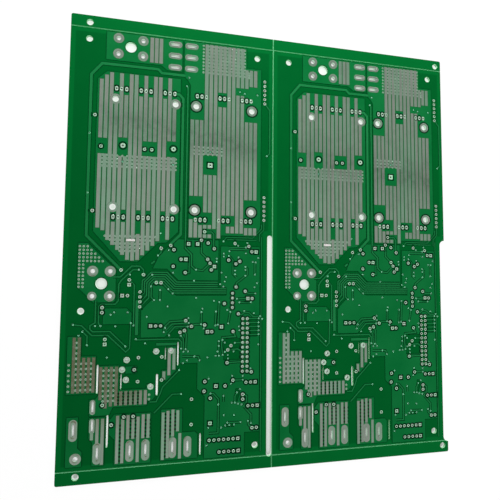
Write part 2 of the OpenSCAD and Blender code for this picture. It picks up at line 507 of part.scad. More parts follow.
// Every round land, with the clearance that the pours leave round it
round_lands = concat(
    lands(terminal_at, terminal_land, 0),
    lands([narrow_terminal_at], narrow_terminal_land, 0),
    lands(corners(input_sink, sink_w, sink_h), heatsink_land, 0),
    lands(corners(output_sink, sink_w, sink_h), heatsink_land, land_gap),
    lands(power_at, power_land, 0),
    lands(pins_at, pin_land, land_gap),
    lands(leads_at, lead_land, land_gap),
    lands(thick_leads_at, thick_land, 1.5 * land_gap),
    lands(vias_at, via_land, land_gap / 2));
square_lands = concat(
    [for (p = first_pins_at) [p.x, p.y, pin_land]],
    [for (p = square_leads_at) [p.x, p.y, lead_land]],
    [[thick_square_lead_at.x, thick_square_lead_at.y, thick_land]]);

// Stitching vias stay clear of the lands and the solder bar
function clear_of_bar(p) =
    max(abs(p.x - bar.x) - bar_l / 2, abs(p.y - bar.y) - bar_w / 2) > stitch_land / 2;
function clear_of_lands(p) =
    min([for (l = round_lands) norm([l.x, l.y] - p) - l[2]]) > stitch_land / 2 + stitch_edge &&
    min([for (l = transistor_leads) norm([l.x, l.y] - p)])
        > (lead_oval_l + stitch_land) / 2 + stitch_edge;
stitch_edge = 0.1;
stitch_at = [for (p = stitch_grid) if (clear_of_lands(p) && clear_of_bar(p)) p];

// ---- Placing --------------------------------------------------------------------------

// The panel is centred on the origin; board 0 is the left one, board 1 the right one
module on_panel() {
    translate([-panel_w / 2, -panel_h / 2, 0]) children();
}

module on_board(i) {
    on_panel() translate([i * board_w, rail_w - grid_drop, 0]) children();
}

module at(points) {
    for (p = points) translate([p.x, p.y, 0]) children();
}

// ---- Core -----------------------------------------------------------------------------

// Routed slot at the right edge of a board; the last board's is open to the right
module edge_slot_2d(last) {
    w = last ? 2 * slot_w : slot_w;
    l = slot_h + slot_run_in;
    translate([step_x + w / 2, slot_top - l / 2]) slot_2d(l, w);
}

module panel_outline_2d() {
    difference() {
        polygon(rounded_points(panel_w, panel_h, corner_r));
        for (i = [0, 1])
            translate([i * board_w, rail_w - grid_drop])
                edge_slot_2d(i == 1);
    }
}

// A V-groove along +X, cut into a face at z = 0
module v_groove(l) {
    rotate([90, 0, 90])
        linear_extrude(l)
            polygon([[-score_w, score_depth], [score_w, score_depth], [0, -score_depth]]);
}

module score_lines() {
    for (y = [rail_w, panel_h - rail_w])
        translate([-1, y, 0]) v_groove(panel_w + 2);
    translate([board_w, -1, 0]) rotate(90) v_groove(panel_h + 2);
}

module drilled(points, d) {
    at(points) translate([0, 0, core_z - 1]) cylinder(d = d, h = core_t + 2);
}

module milled(l, w) {
    translate([0, 0, core_z - 1]) linear_extrude(core_t + 2) slot_2d(l, w);
}

module board_holes() {
    wall = 2 * plating;
    drilled(board_hole_at, tooling_d);
    drilled(locating_at, locating_d);
    drilled(concat(terminal_at, [narrow_terminal_at]), terminal_hole + wall);
    drilled(concat(corners(input_sink, sink_w, sink_h), corners(output_sink, sink_w, sink_h)),
        heatsink_hole + wall);
    drilled(transistor_leads, pin_hole + wall);
    drilled(power_at, power_hole + wall);
    drilled(concat(pins_at, first_pins_at), pin_hole + wall);
    drilled(concat(leads_at, square_leads_at, thick_leads_at, [thick_square_lead_at]),
        lead_hole + wall);
    drilled(vias_at, via_hole + wall);
    at(blade_at) milled(blade_slot_l + wall, blade_slot_w + wall);
    at(narrow_blade_at) milled(blade_slot_l + wall, blade_slot_w + wall);
    at(fuse_at) rotate(90) milled(fuse_slot_l + wall, fuse_slot_w + wall);
    for (s = isolation_slots) translate([s[0], (s[1] + s[2]) / 2]) milled(s[2] - s[1], s[3]);
}

module laminate_panel() {
    color(laminate_green)
        difference() {
            on_panel() translate([0, 0, core_z]) linear_extrude(core_t) panel_outline_2d();
            on_panel() {
                translate([0, 0, front_z]) score_lines();
                translate([0, 0, core_z]) mirror([0, 0, 1]) score_lines();
                drilled(rail_hole_at, tooling_d);
            }
            for (i = [0, 1]) on_board(i) board_holes();
        }
}

// ---- Copper planes, pours and tracks --------------------------------------------------

// What the copper keeps clear of on the back: every hole and slot
module back_clearance_2d() {
    for (l = round_lands) translate([l.x, l.y]) circle(r = l[2] + copper_gap);
    for (l = square_lands) translate([l.x, l.y]) circle(r = l[2] * 0.71 + copper_gap);
    at(transistor_leads) slot_2d(lead_oval_l + 2 * copper_gap, lead_oval_w + 2 * copper_gap);
    at(board_hole_at) circle(d = tooling_d + 2 * copper_gap);
    at(locating_at) circle(d = locating_d + 2 * copper_gap);
    at(blade_at) slot_2d(blade_land_l + 2 * copper_gap, blade_land_w + 2 * copper_gap);
    at(narrow_blade_at) slot_2d(narrow_land_l + 2 * copper_gap, narrow_land_w + 2 * copper_gap);
    at(fuse_at) rotate(90) slot_2d(fuse_land_l + 2 * copper_gap, fuse_land_w + 2 * copper_gap);
    for (s = isolation_slots)
        translate([s[0], (s[1] + s[2]) / 2])
            slot_2d(s[2] - s[1] + 2 * copper_gap, s[3] + 2 * copper_gap);
}

module back_plane(i) {
    inset = back_inset;
    base = grid_drop + inset;
    top = grid_drop + board_h - inset;
    color(mask_green)
        on_board(i) linear_extrude(back_t) difference() {
            polygon([[inset, base], [step_x - inset, base], [step_x - inset, slot_top + inset],
                [board_w - inset, slot_top + inset], [board_w - inset, top], [inset, top]]);
            back_clearance_2d();
        }
}

// Front clearances that fall inside one outline's box
module front_clearance_2d(outline) {
    lo = low(outline);
    hi = high(outline);
    for (l = round_lands)
        if (near(l, lo, hi)) translate([l.x, l.y]) circle(r = l[2] + l[3]);
    for (l = square_lands)
        if (near(l, lo, hi)) translate([l.x, l.y]) square(l[2] + 2 * land_gap, center = true);
    for (p = transistor_leads)
        if (near(p, lo, hi))
            translate([p.x, p.y]) slot_2d(lead_oval_l + 2 * p.z, lead_oval_w + 2 * p.z);
    for (p = locating_at)
        if (near(p, lo, hi)) translate(p) circle(d = locating_d + 2 * copper_gap);
    for (p = blade_at)
        if (near(p, lo, hi)) translate(p) slot_2d(blade_land_l, blade_land_w);
    for (p = narrow_blade_at)
        if (near(p, lo, hi)) translate(p) slot_2d(narrow_land_l, narrow_land_w);
    for (p = fuse_at)
        if (near(p, lo, hi)) translate(p) rotate(90) slot_2d(fuse_land_l, fuse_land_w);
    for (p = mouths_at)
        if (near(p, lo, hi, 0)) translate(p) circle(d = mouth_d);
    for (s = isolation_slots)
        if (near([s[0], (s[1] + s[2]) / 2], lo, hi, 6))
            translate([s[0], (s[1] + s[2]) / 2])
                slot_2d(s[2] - s[1] + 2 * copper_gap, s[3] + 2 * copper_gap);
    for (t = tracks)
        if (boxes_meet(low(t[1]), high(t[1]), lo, hi))
            polygon(track_points(t[1], t[0] + 2 * copper_gap));
}

module pour(outline) {
    translate([0, 0, front_z])
        linear_extrude(copper_t)
            difference() {
                polygon(outline);
                front_clearance_2d(outline);
                children();
            }
}

module copper_pours(i) {
    color(mask_green)
        on_board(i) for (p = pours) pour(p);
}

module ground_pour(i) {
    color(mask_green)
        on_board(i) for (p = ground_areas) pour(p) {
            for (w = ground_windows) polygon(w);
        }
}

// Tracks end against the lands
module signal_tracks(i) {
    color(mask_green)
        on_board(i) translate([0, 0, front_z])
            for (t = tracks)
                linear_extrude(copper_t)
                    difference() {
                        polygon(track_points(t[1], t[0]));
                        land_clearance_2d(low(t[1]), high(t[1]));
                    }
}

// The lands themselves, as cut from tracks and stripes
module land_clearance_2d(lo, hi) {
    for (l = round_lands)
        if (near(l, lo, hi, l[2] + 0.5)) translate([l.x, l.y]) circle(r = l[2]);
    for (l = square_lands)
        if (near(l, lo, hi, 1)) translate([l.x, l.y]) square(l[2], center = true);
    for (p = transistor_leads)
        if (near(p, lo, hi, 2)) translate([p.x, p.y]) slot_2d(lead_oval_l, lead_oval_w);
}

// ---- Tin: stripes, lands and plated holes ---------------------------------------------

// One stripe on top of the copper, cut back from the lands and the via mouths it passes
module stripe(s, w = stripe_w) {
    lo = [s[0] - w / 2, s[1]];
    hi = [s[0] + w / 2, s[2]];
    translate([0, 0, mask_z])
        linear_extrude(tin_t)
            difference() {
                translate(lo) square(hi - lo);
                children();
                for (l = round_lands)
                    if (near(l, lo, hi, l[2] + l[3]))
                        translate([l.x, l.y]) circle(r = l[2] + l[3]);
                for (l = square_lands)
                    if (near(l, lo, hi, 2))
                        translate([l.x, l.y]) square(l[2] + 2 * land_gap, center = true);
                for (p = transistor_leads)
                    if (near(p, lo, hi, 2))
                        translate([p.x, p.y]) slot_2d(lead_oval_l + 2 * p.z, lead_oval_w + 2 * p.z);
                for (p = blade_at)
                    if (near(p, lo, hi, blade_land_l))
                        translate(p) slot_2d(blade_land_l, blade_land_w);
                for (p = narrow_blade_at)
                    if (near(p, lo, hi, narrow_land_l))
                        translate(p) slot_2d(narrow_land_l, narrow_land_w);
                for (p = mouths_at)
                    if (near(p, lo, hi, mouth_d)) translate(p) circle(d = mouth_d);
                for (p = stitch_at)
                    if (near(p, lo, hi, stitch_land)) translate(p) circle(d = stitch_land);
            }
}

module input_stripes(i) {
    color(tin_grey)
        on_board(i) {
            for (k = [0:input_cols - 1])
                for (s = upright(input_x + k * stripe_pitch, input_spans[k]))
                    stripe(s) {
                        for (w = input_windows)
                            if (s[0] > w[0] - stripe_w && s[0] < w[2] + stripe_w)
                                translate([w[0], w[1]]) square([w[2] - w[0], w[3] - w[1]]);
                        translate(bar) square([bar_l, bar_w], center = true);
                    }
            for (s = mains_stripes) stripe(s);
            translate([bar.x - bar_l / 2, bar.y - bar_w / 2, mask_z])
                cube([bar_l, bar_w, tin_t / 2]);
        }
}

module output_stripes(i) {
    color(tin_grey)
        on_board(i)
            for (k = [0:len(output_spans) - 1])
                for (s = upright(output_x + k * stripe_pitch, output_spans[k])) stripe(s);
}

module lower_bus_stripes(i) {
    color(tin_grey)
        on_board(i)
            for (s = lower_stripes) stripe(s, lower_stripe_w);
}

// A plated hole with a round land on each face, turned as one piece
module plated_hole(land, hole) {
    wall = hole / 2 + plating;
    rotate_extrude()
        polygon([[hole / 2, 0], [land / 2, 0], [land / 2, back_t], [wall, back_t], [wall, front_z],
            [land / 2, front_z], [land / 2, front_z + land_t], [hole / 2, front_z + land_t]]);
}

module plated_holes(points, land, hole) {
    at(points) plated_hole(land, hole);
}

// A plated hole or slot whose land has another outline; the outlines are 2D children:
// land, plated wall, opening
module shaped_hole() {
    difference() {
        union() {
            linear_extrude(back_t) children(0);
            translate([0, 0, core_z]) linear_extrude(core_t) children(1);
            translate([0, 0, front_z]) linear_extrude(land_t) children(0);
        }
        translate([0, 0, -1]) linear_extrude(front_z + land_t + 2) children(2);
    }
}

module square_hole(land, hole) {
    shaped_hole() {
        square(land, center = true);
        circle(d = hole + 2 * plating);
        circle(d = hole);
    }
}

module slotted_hole(land_l, land_w, slot_l, slot_w) {
    shaped_hole() {
        slot_2d(land_l, land_w);
        slot_2d(slot_l + 2 * plating, slot_w + 2 * plating);
        slot_2d(slot_l, slot_w);
    }
}

module terminal_rings(i) {
    color(tin_grey)
        on_board(i) {
            plated_holes(terminal_at, terminal_land, terminal_hole);
            plated_holes([narrow_terminal_at], narrow_terminal_land, terminal_hole);
        }
}

module fuse_slots(i) {
    color(tin_grey)
        on_board(i) at(fuse_at)
            rotate(90) slotted_hole(fuse_land_l, fuse_land_w, fuse_slot_l, fuse_slot_w);
}

module blade_slots(i) {
    color(tin_grey)
        on_board(i) {
            at(blade_at) slotted_hole(blade_land_l, blade_land_w, blade_slot_l, blade_slot_w);
            at(narrow_blade_at)
                slotted_hole(narrow_land_l, narrow_land_w, blade_slot_l, blade_slot_w);
        }
}

module heatsink_pads(i) {
    color(tin_grey)
        on_board(i)
            for (c = [input_sink, output_sink])
                plated_holes(corners(c, sink_w, sink_h), heatsink_land, heatsink_hole);
}

module transistor_pads(i) {
    color(tin_grey)
        on_board(i)
            at(transistor_leads)
                shaped_hole() {
                    slot_2d(lead_oval_l, lead_oval_w);
                    circle(d = pin_hole + 2 * plating);
                    circle(d = pin_hole);
                }
}

module power_pads(i) {
    color(tin_grey) on_board(i) plated_holes(power_at, power_land, power_hole);
}

module header_pads(i) {
    color(tin_grey)
        on_board(i) {
            plated_holes(pins_at, pin_land, pin_hole);
            at(first_pins_at) square_hole(pin_land, pin_hole);
        }
}

module lead_pads(i) {
    color(tin_grey)
        on_board(i) {
            plated_holes(leads_at, lead_land, lead_hole);
            plated_holes(thick_leads_at, thick_land, lead_hole);
            at(square_leads_at) square_hole(lead_land, lead_hole);
            at([thick_square_lead_at]) square_hole(thick_land, lead_hole);
        }
}

module signal_vias(i) {
    color(tin_grey) on_board(i) plated_holes(vias_at, via_land, via_hole);
}

// A stitching via shows as a small tin ring on the copper
module stitch_vias(i) {
    color(tin_grey)
        on_board(i) at(stitch_at) translate([0, 0, mask_z])
            rotate_extrude()
                translate([stitch_hole / 2, 0]) square([(stitch_land - stitch_hole) / 2, tin_t]);
}

// ---- Parts ----------------------------------------------------------------------------

laminate_panel();
back_plane(0);  // left_back_plane
back_plane(1);  // right_back_plane
copper_pours(0);  // left_copper_pours
copper_pours(1);  // right_copper_pours
ground_pour(0);  // left_ground_pour
ground_pour(1);  // right_ground_pour
signal_tracks(0);  // left_tracks
signal_tracks(1);  // right_tracks
input_stripes(0);  // left_input_stripes
input_stripes(1);  // right_input_stripes
output_stripes(0);  // left_output_stripes
output_stripes(1);  // right_output_stripes
lower_bus_stripes(0);  // left_lower_stripes
lower_bus_stripes(1);  // right_lower_stripes
terminal_rings(0);  // left_terminal_rings
terminal_rings(1);  // right_terminal_rings
fuse_slots(0);  // left_fuse_slots
fuse_slots(1);  // right_fuse_slots
blade_slots(0);  // left_blade_slots
blade_slots(1);  // right_blade_slots
heatsink_pads(0);  // left_heatsink_pads
heatsink_pads(1);  // right_heatsink_pads
transistor_pads(0);  // left_transistor_pads
transistor_pads(1);  // right_transistor_pads
power_pads(0);  // left_power_pads
power_pads(1);  // right_power_pads
header_pads(0);  // left_header_pads
header_pads(1);  // right_header_pads
lead_pads(0);  // left_lead_pads
lead_pads(1);  // right_lead_pads
signal_vias(0);  // left_signal_vias
signal_vias(1);  // right_signal_vias
stitch_vias(0);  // left_stitch_vias
stitch_vias(1);  // right_stitch_vias
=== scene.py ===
# Looks for the bare circuit board panel: solder mask, laminate, levelled tin, light and camera
import math

import bmesh
import bpy
from mathutils import Euler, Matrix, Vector
from mathutils.bvhtree import BVHTree


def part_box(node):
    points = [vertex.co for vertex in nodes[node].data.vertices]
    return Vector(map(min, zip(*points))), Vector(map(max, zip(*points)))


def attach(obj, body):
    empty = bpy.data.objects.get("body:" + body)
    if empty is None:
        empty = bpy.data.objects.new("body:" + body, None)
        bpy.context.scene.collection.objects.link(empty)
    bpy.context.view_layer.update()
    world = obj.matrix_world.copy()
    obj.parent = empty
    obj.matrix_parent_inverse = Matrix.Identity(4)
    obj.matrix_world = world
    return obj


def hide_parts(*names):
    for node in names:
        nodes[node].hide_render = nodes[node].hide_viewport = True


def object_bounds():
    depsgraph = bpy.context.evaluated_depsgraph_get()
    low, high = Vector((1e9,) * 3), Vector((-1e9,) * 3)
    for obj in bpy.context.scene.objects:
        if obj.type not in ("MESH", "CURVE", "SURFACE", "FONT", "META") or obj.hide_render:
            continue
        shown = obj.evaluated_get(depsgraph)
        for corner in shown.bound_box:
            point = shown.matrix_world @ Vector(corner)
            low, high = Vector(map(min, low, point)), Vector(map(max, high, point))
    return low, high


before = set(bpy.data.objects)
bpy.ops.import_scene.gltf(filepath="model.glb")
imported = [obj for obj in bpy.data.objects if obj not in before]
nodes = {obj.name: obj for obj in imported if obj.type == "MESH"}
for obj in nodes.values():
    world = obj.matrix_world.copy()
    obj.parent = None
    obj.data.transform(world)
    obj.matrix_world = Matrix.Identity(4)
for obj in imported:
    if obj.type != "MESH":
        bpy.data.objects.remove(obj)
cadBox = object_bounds()
mm = 0.001
noiseSpread = (0.3, 0.7)  # nearly all of a noise lies between these
print("frame loaded with", len(nodes), "nodes")


# Small helpers for shader nodes

def newMaterial(name):
    material = bpy.data.materials.new(name)
    material.use_nodes = True
    return material, material.node_tree, material.node_tree.nodes["Principled BSDF"]


def addNode(tree, kind, **settings):
    node = tree.nodes.new(kind)
    for key, value in settings.items():
        setattr(node, key, value)
    return node


def plug(tree, value, socket):
    # a socket takes another node's output or a plain value
    if isinstance(value, bpy.types.NodeSocket):
        tree.links.new(value, socket)
    else:
        socket.default_value = value


def calc(tree, operation, *values):
    node = addNode(tree, "ShaderNodeMath", operation=operation)
    for i, value in enumerate(values):
        plug(tree, value, node.inputs[i])
    return node.outputs[0]


def noise(tree, where, scale, detail=3.0, rough=0.5):
    node = addNode(tree, "ShaderNodeTexNoise")
    plug(tree, where, node.inputs["Vector"])
    node.inputs["Scale"].default_value = scale
    node.inputs["Detail"].default_value = detail
    node.inputs["Roughness"].default_value = rough
    return node.outputs["Fac"]


def remap(tree, value, fromLow, fromHigh, toLow, toHigh):
    node = addNode(tree, "ShaderNodeMapRange", clamp=True)
    for socket, item in zip(node.inputs, (value, fromLow, fromHigh, toLow, toHigh)):
        plug(tree, item, socket)
    return node.outputs[0]


def blendColour(tree, factor, first, second, how="MIX"):
    node = addNode(tree, "ShaderNodeMix", data_type="RGBA", blend_type=how)
    plug(tree, factor, node.inputs[0])
    for value, socket in ((first, node.inputs[6]), (second, node.inputs[7])):
        plug(tree, value if isinstance(value, bpy.types.NodeSocket) else (*value, 1), socket)
    return node.outputs[2]


def bump(tree, height, strength, distance):
    node = addNode(tree, "ShaderNodeBump")
    node.inputs["Strength"].default_value = strength
    node.inputs["Distance"].default_value = distance
    plug(tree, height, node.inputs["Height"])
    return node.outputs["Normal"]


def shelter(tree, reach, rays=16):
    # 1 in the open, lower beside a step or in a narrow gap
    node = addNode(tree, "ShaderNodeAmbientOcclusion", samples=rays, only_local=False)
    node.inputs["Distance"].default_value = reach
    return node.outputs["AO"]


def placeOnPanel(tree):
    # in metres
    return addNode(tree, "ShaderNodeTexCoord").outputs["Object"]


def xyz(tree, vector):
    parts = addNode(tree, "ShaderNodeSeparateXYZ")
    tree.links.new(vector, parts.inputs[0])
    return parts.outputs


def slant(tree):
    # how far a face turns away from lying flat: 0 for the board's faces, 1 for its walls
    facing = addNode(tree, "ShaderNodeNewGeometry").outputs["True Normal"]
    return calc(tree, "SUBTRACT", 1, calc(tree, "ABSOLUTE", xyz(tree, facing)[2]))


def roughness(tree, where, scale, look):
    # a little rougher in some places than in others
    return remap(tree, noise(tree, where, scale), *noiseSpread, *look["roughness"])


# Where the back plane darkens the green: between the insets of each board

def planeEdges(name):
    points = [v.co for v in nodes[name].data.vertices]
    low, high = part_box(name)
    # its right edge steps inwards below the middle of the board
    stepX = max(p.x for p in points if p.y < 0)
    stepY = min(p.y for p in points if p.x > stepX + mm)
    return {"low": low, "high": high, "stepX": stepX, "stepY": stepY}


# Solder mask over bare laminate, with fibre showing on the routed and scored walls

laminateLook = {
    "overPlane": (0.0001, 0.064, 0.0115),
    "overNothing": (0.0004, 0.086, 0.0155),
    "planeBlur": 0.25 * mm,
    "mottle": (0.0006, 0.074, 0.0135),
    "mottleScale": 90,
    "mottleRange": (0.35, 0.7),
    "mottleAmount": 0.35,
    "gap": (0.0002, 0.010, 0.003),
    "gapReach": 0.8 * mm,
    "gapRange": (0.9, 0.999),  # openness of a narrow gap and of an open face
    "score": (0.12, 0.40, 0.20),
    "fibre": (0.34, 0.62, 0.40),
    "wallSlant": (0.05, 0.15),
    "uprightSlant": (0.75, 0.9),
    "strandScale": 2600,
    "strandTone": (0.8, 1.12),
    "weavePitch": 0.7 * mm,
    "weaveShare": 0.35,
    "grainScale": 420,
    "bump": 0.25,
    "bumpHeight": 0.02 * mm,
    "roughness": (0.37, 0.49),
    "roughScale": 130,
    "wallRoughness": 0.8,
    "specular": 0.012,
}


def laminateMaterial(look):
    material, tree, shader = newMaterial("greenLaminate")
    where = placeOnPanel(tree)
    x, y = xyz(tree, where)[:2]
    soft = look["planeBlur"]
    inside = 0.0
    for name in ("left_back_plane", "right_back_plane"):
        edge = planeEdges(name)
        upper = calc(tree, "GREATER_THAN", y, edge["stepY"])
        right = calc(tree, "ADD", edge["stepX"], calc(
            tree, "MULTIPLY", upper, edge["high"].x - edge["stepX"]))
        sides = [
            remap(tree, x, edge["low"].x - soft, edge["low"].x + soft, 0, 1),
            remap(tree, calc(tree, "SUBTRACT", right, x), -soft, soft, 0, 1),
            remap(tree, y, edge["low"].y - soft, edge["low"].y + soft, 0, 1),
            remap(tree, y, edge["high"].y - soft, edge["high"].y + soft, 1, 0)]
        cover = sides[0]
        for side in sides[1:]:
            cover = calc(tree, "MINIMUM", cover, side)
        inside = calc(tree, "MAXIMUM", inside, cover)
    green = blendColour(tree, inside, look["overNothing"], look["overPlane"])
    patches = remap(
        tree, noise(tree, where, look["mottleScale"], 4),
        *look["mottleRange"], 0, look["mottleAmount"])
    green = blendColour(tree, patches, green, look["mottle"])
    # painted shade: the mask is painted darker in narrow gaps beside the copper, where little
    # light reaches
    narrow = remap(tree, shelter(tree, look["gapReach"]), *look["gapRange"], 1, 0)
    green = blendColour(tree, narrow, green, look["gap"])
    # scored walls slant, milled and drilled ones stand upright
    slope = slant(tree)
    wall = remap(tree, slope, *look["wallSlant"], 0, 1)
    upright = remap(tree, slope, *look["uprightSlant"], 0, 1)
    strands = remap(
        tree, noise(tree, where, look["strandScale"], 2), *noiseSpread, *look["strandTone"])
    fibre = blendColour(tree, upright, look["score"], look["fibre"])
    fibre = blendColour(tree, 1.0, fibre, strands, "MULTIPLY")
    tree.links.new(blendColour(tree, wall, green, fibre), shader.inputs["Base Color"])
    # glass weave under the mask
    turn = 2 * math.pi / look["weavePitch"]
    warp = calc(tree, "SINE", calc(tree, "MULTIPLY", x, turn))
    weft = calc(tree, "SINE", calc(tree, "MULTIPLY", y, turn))
    weave = calc(tree, "MULTIPLY", calc(tree, "MULTIPLY", warp, weft), look["weaveShare"])
    height = calc(tree, "ADD", weave, noise(tree, where, look["grainScale"], 2))
    tree.links.new(bump(tree, height, look["bump"], look["bumpHeight"]), shader.inputs["Normal"])
    rough = roughness(tree, where, look["roughScale"], look)
    rough = calc(tree, "MAXIMUM", rough, calc(tree, "MULTIPLY", wall, look["wallRoughness"]))
    tree.links.new(rough, shader.inputs["Roughness"])
    shader.inputs["Specular IOR Level"].default_value = look["specular"]
    return material


# Solder mask over copper: paler green, a little smoother, with painted shade where it runs down
# an edge and in narrow gaps

copperLook = {
    "name": "maskedCopper",
    "green": (0.0016, 0.088, 0.020),
    "warm": (0.0040, 0.104, 0.026),
    "patchScale": 60,
    "patchRange": (0.3, 0.75),
    "gap": (0.008, 0.055, 0.018),
    "gapReach": 0.5 * mm,
    "gapRange": (0.92, 0.999),
    "edge": (0.0008, 0.02, 0.005),
    "edgeSlant": (0.1, 0.5),
    "grainScale": 700,
    "bump": 0.18,
    "bumpHeight": 0.02 * mm,
    "roughness": (0.34, 0.48),
    "roughScale": 150,
    "specular": 0.015,
}
# painted highlight: the narrow tracks are painted a lighter green for the light their edges
# catch
trackLook = {
    **copperLook,
    "name": "maskedTracksPaintedHighlight",
    "green": (0.0058, 0.110, 0.030),
    "warm": (0.0088, 0.124, 0.036),
}
# painted shade: a near-black band laid on the copper round the rim of a clearance
paintedShadeRimLook = {
    **copperLook,
    "name": "paintedShadeRim",
    "green": (0.0006, 0.020, 0.006),
    "warm": (0.0010, 0.026, 0.008),
}


def copperMaterial(look):
    material, tree, shader = newMaterial(look["name"])
    where = placeOnPanel(tree)
    patches = remap(tree, noise(tree, where, look["patchScale"], 4), *look["patchRange"], 0, 1)
    green = blendColour(tree, patches, look["green"], look["warm"])
    # painted shade: the mask is painted darker beside steps and between raised stripes
    narrow = remap(tree, shelter(tree, look["gapReach"]), *look["gapRange"], 1, 0)
    green = blendColour(tree, narrow, green, look["gap"])
    # painted shade: the copper's walls are painted darker where the mask runs down an edge
    edge = remap(tree, slant(tree), *look["edgeSlant"], 0, 1)
    tree.links.new(blendColour(tree, edge, green, look["edge"]), shader.inputs["Base Color"])
    grain = noise(tree, where, look["grainScale"])
    tree.links.new(bump(tree, grain, look["bump"], look["bumpHeight"]), shader.inputs["Normal"])
    tree.links.new(
        roughness(tree, where, look["roughScale"], look), shader.inputs["Roughness"])
    shader.inputs["Specular IOR Level"].default_value = look["specular"]
    return material


# Hot-air levelled tin: dull grey metal with soft humps and small stains

tinLook = {
    "streakScale": 520,
    "streakStretch": 0.03,
    "streakRange": (0.42, 0.58),
    "stainShare": 0.6,  # scales of the stains and the roughness, set against the humps
    "roughShare": 1.7,
    "stainRange": (0.45, 0.8),
    # painted shade inside the holes: its reach and range here, its colour as each look's inside
    "holeShadeReach": 0.9 * mm,
    "holeShadeRange": (0.55, 0.85),  # openness of the small holes and of the large ones
    "grainShare": 0.12,
    "bump": 0.12,
    "bumpHeight": 0.03 * mm,
}
stripeLook = {
    **tinLook,
    "name": "levelledTin",
    "colour": (0.52, 0.84, 0.60),
    "stain": (0.50, 0.66, 0.52),
    "streak": (0.66, 0.76, 0.64),
    "metallic": 1.0,
    "inside": (0.30, 0.40, 0.32),
    "humps": 200,
    "grain": 1500,
    "roughness": (0.09, 0.19),
}
landLook = {
    **tinLook,
    "name": "brightTin",
    "colour": (0.60, 0.92, 0.68),
    "stain": (0.50, 0.68, 0.52),
    "streak": (0.62, 0.84, 0.66),
    "metallic": 0.72,
    "inside": (0.01, 0.03, 0.015),
    "humps": 500,
    "grain": 2500,
    "roughness": (0.16, 0.26),
}
# the solder left on the stitching rings has the tone of the stripes
stitchLook = {**landLook, "name": "stitchTin", "metallic": 0.93}
# pins and vias have a thin film of mask over part of the tin
pinLook = {**landLook, "name": "pinTin", "colour": (0.56, 0.98, 0.66), "metallic": 0.66}
viaLook = {
    **landLook,
    "name": "viaTin",
    "colour": (0.31, 1.0, 0.58),
    "stain": (0.28, 0.80, 0.48),
    "streak": (0.32, 0.96, 0.56),
    "metallic": 0.36,
}
# painted highlight: the bead's tin is painted near white
beadLook = {
    **landLook,
    "name": "beadTinPaintedHighlight",
    "colour": (0.95, 0.93, 0.90),
    "stain": (0.86, 0.80, 0.78),
    "streak": (0.95, 0.90, 0.88),
    "metallic": 0.6,
}


def tinMaterial(look):
    material, tree, shader = newMaterial(look["name"])
    where = placeOnPanel(tree)
    # the levelling air leaves streaks along the stripes
    along = addNode(tree, "ShaderNodeMapping")
    tree.links.new(where, along.inputs["Vector"])
    along.inputs["Scale"].default_value = (1, look["streakStretch"], 1)
    streaks = noise(tree, along.outputs[0], look["streakScale"])
    streaks = remap(tree, streaks, *look["streakRange"], 0, 1)
    colour = blendColour(tree, streaks, look["colour"], look["streak"])
    stains = noise(tree, where, look["humps"] * look["stainShare"], 4, 0.6)
    stains = remap(tree, stains, *look["stainRange"], 0, 1)
    colour = blendColour(tree, stains, colour, look["stain"])
    # painted shade: the tin is painted dark inside small holes, where little light gets in, and
    # keeps its colour in large ones
    paintedHoleShade = remap(tree, shelter(tree, look["holeShadeReach"]), *look["holeShadeRange"], 1, 0)
    colour = blendColour(tree, paintedHoleShade, colour, look["inside"])
    tree.links.new(colour, shader.inputs["Base Color"])
    humps = noise(tree, where, look["humps"], 1)
    grain = noise(tree, where, look["grain"])
    height = calc(tree, "ADD", humps, calc(tree, "MULTIPLY", grain, look["grainShare"]))
    tree.links.new(bump(tree, height, look["bump"], look["bumpHeight"]), shader.inputs["Normal"])
    tree.links.new(
        roughness(tree, where, look["humps"] * look["roughShare"], look),
        shader.inputs["Roughness"])
    shader.inputs["Metallic"].default_value = look["metallic"]
    return material


finishes = {
    "laminate": laminateMaterial(laminateLook),
    "copper": copperMaterial(copperLook),
    "track": copperMaterial(trackLook),
    "rim": copperMaterial(paintedShadeRimLook),
    "stripe": tinMaterial(stripeLook),
    "land": tinMaterial(landLook),
    "pin": tinMaterial(pinLook),
    "stitch": tinMaterial(stitchLook),
    "via": tinMaterial(viaLook),
    "bead": tinMaterial(beadLook),
}
# every CAD node not named here is a land
finishOf = {
    "laminate_panel": "laminate",
    "back_plane": "copper", "copper_pours": "copper", "ground_pour": "copper", "tracks": "track",
    "input_stripes": "stripe", "output_stripes": "stripe", "lower_stripes": "stripe",
}
for name, node in nodes.items():
    kind = name if name in finishOf else name.split("_", 1)[1]
    node.data.materials.clear()
    node.data.materials.append(finishes[finishOf.get(kind, "land")])
    node.data.polygons.foreach_set("material_index", [0] * len(node.data.polygons))
print("materials set")


# Plated holes: the solder stands in a crowned ring on each land, down into the barrel

# for each finish, the lands and the length and width of their holes in millimetres
landKinds = {
    "stripe": {
        "terminal_rings": (2.3, 2.3), "heatsink_pads": (3.2, 3.2),
        "blade_slots": (0.9, 5.8), "fuse_slots": (5.2, 1.2)},
    "land": {"power_pads": (1.7, 1.7), "transistor_pads": (0.9, 0.9)},
    "pin": {"header_pads": (0.9, 0.9), "lead_pads": (1, 1)},
    "via": {"signal_vias": (0.5, 0.5)},
    "stitch": {"stitch_vias": (0.4, 0.4)},
}
